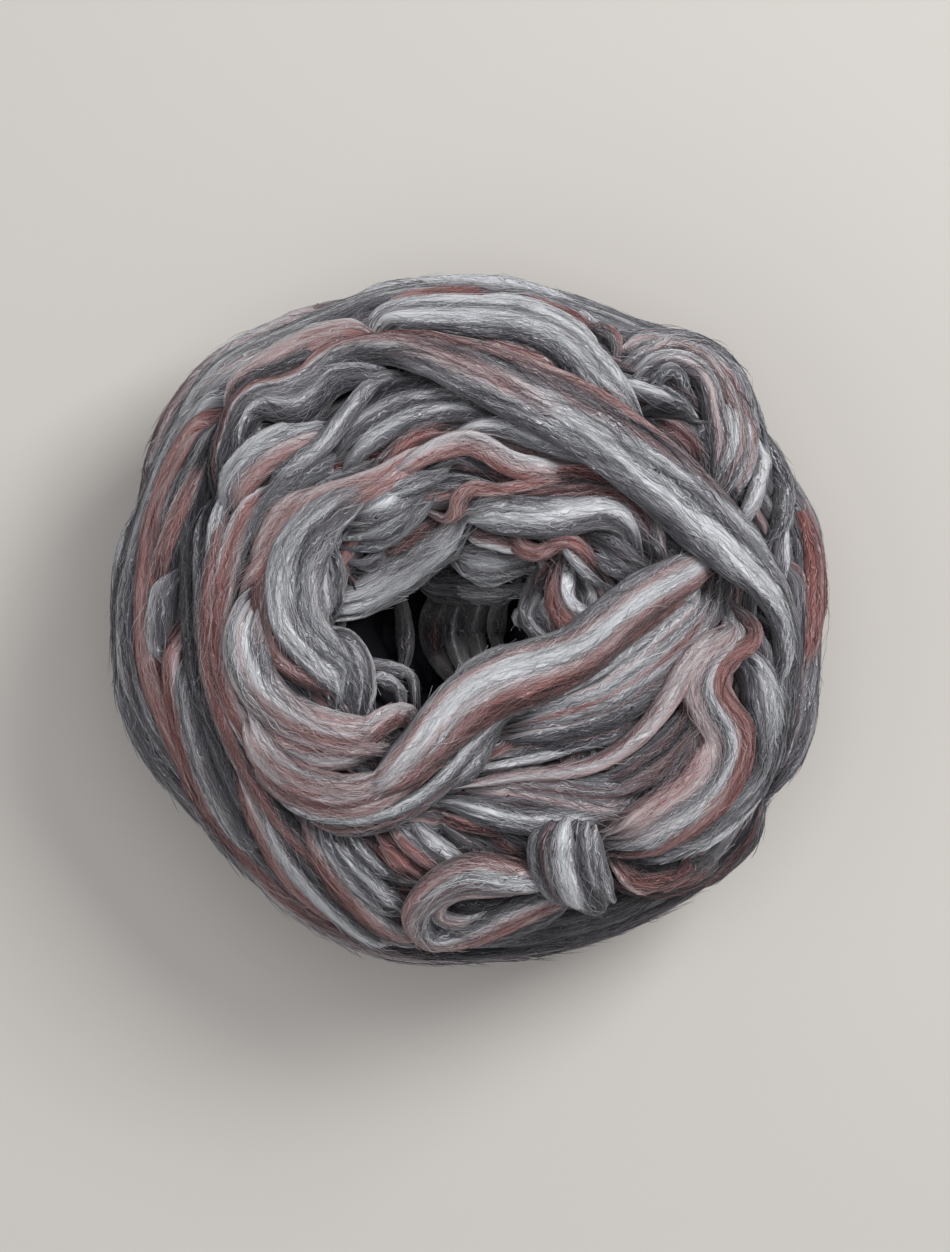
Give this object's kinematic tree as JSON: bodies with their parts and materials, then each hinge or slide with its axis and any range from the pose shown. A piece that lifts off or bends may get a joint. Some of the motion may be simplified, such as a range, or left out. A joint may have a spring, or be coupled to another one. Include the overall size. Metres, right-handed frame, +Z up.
{
  "type": "wool roving",
  "caption": "Soft ball of combed wool roving in grey, white and dusty rose bands, wound round an open hollow and lying on a small flat foot, its loose end tied in a loop.",
  "frame": {"origin": "on the surface it lies on, under the middle of the ball's outline", "axes": "+Z up out of the open hollow, the ball's shortest way; +X and +Y across it, with the loose end loop on the -Y side"},
  "size_m": [0.2386, 0.2297, 0.1218],
  "materials": {
    "ball_wool": "matte combed wool in grey, white, charcoal, rose and terracotta streaks",
    "loop_wool": "matte combed wool, pale grey with a rose edge",
    "knot_wool": "matte combed wool, white and grey streaks"
  },
  "bodies": {
    "root": {"wound_ball": "ball_wool", "end_loop": "loop_wool", "end_knot": "knot_wool"}
  },
  "joints": []
}
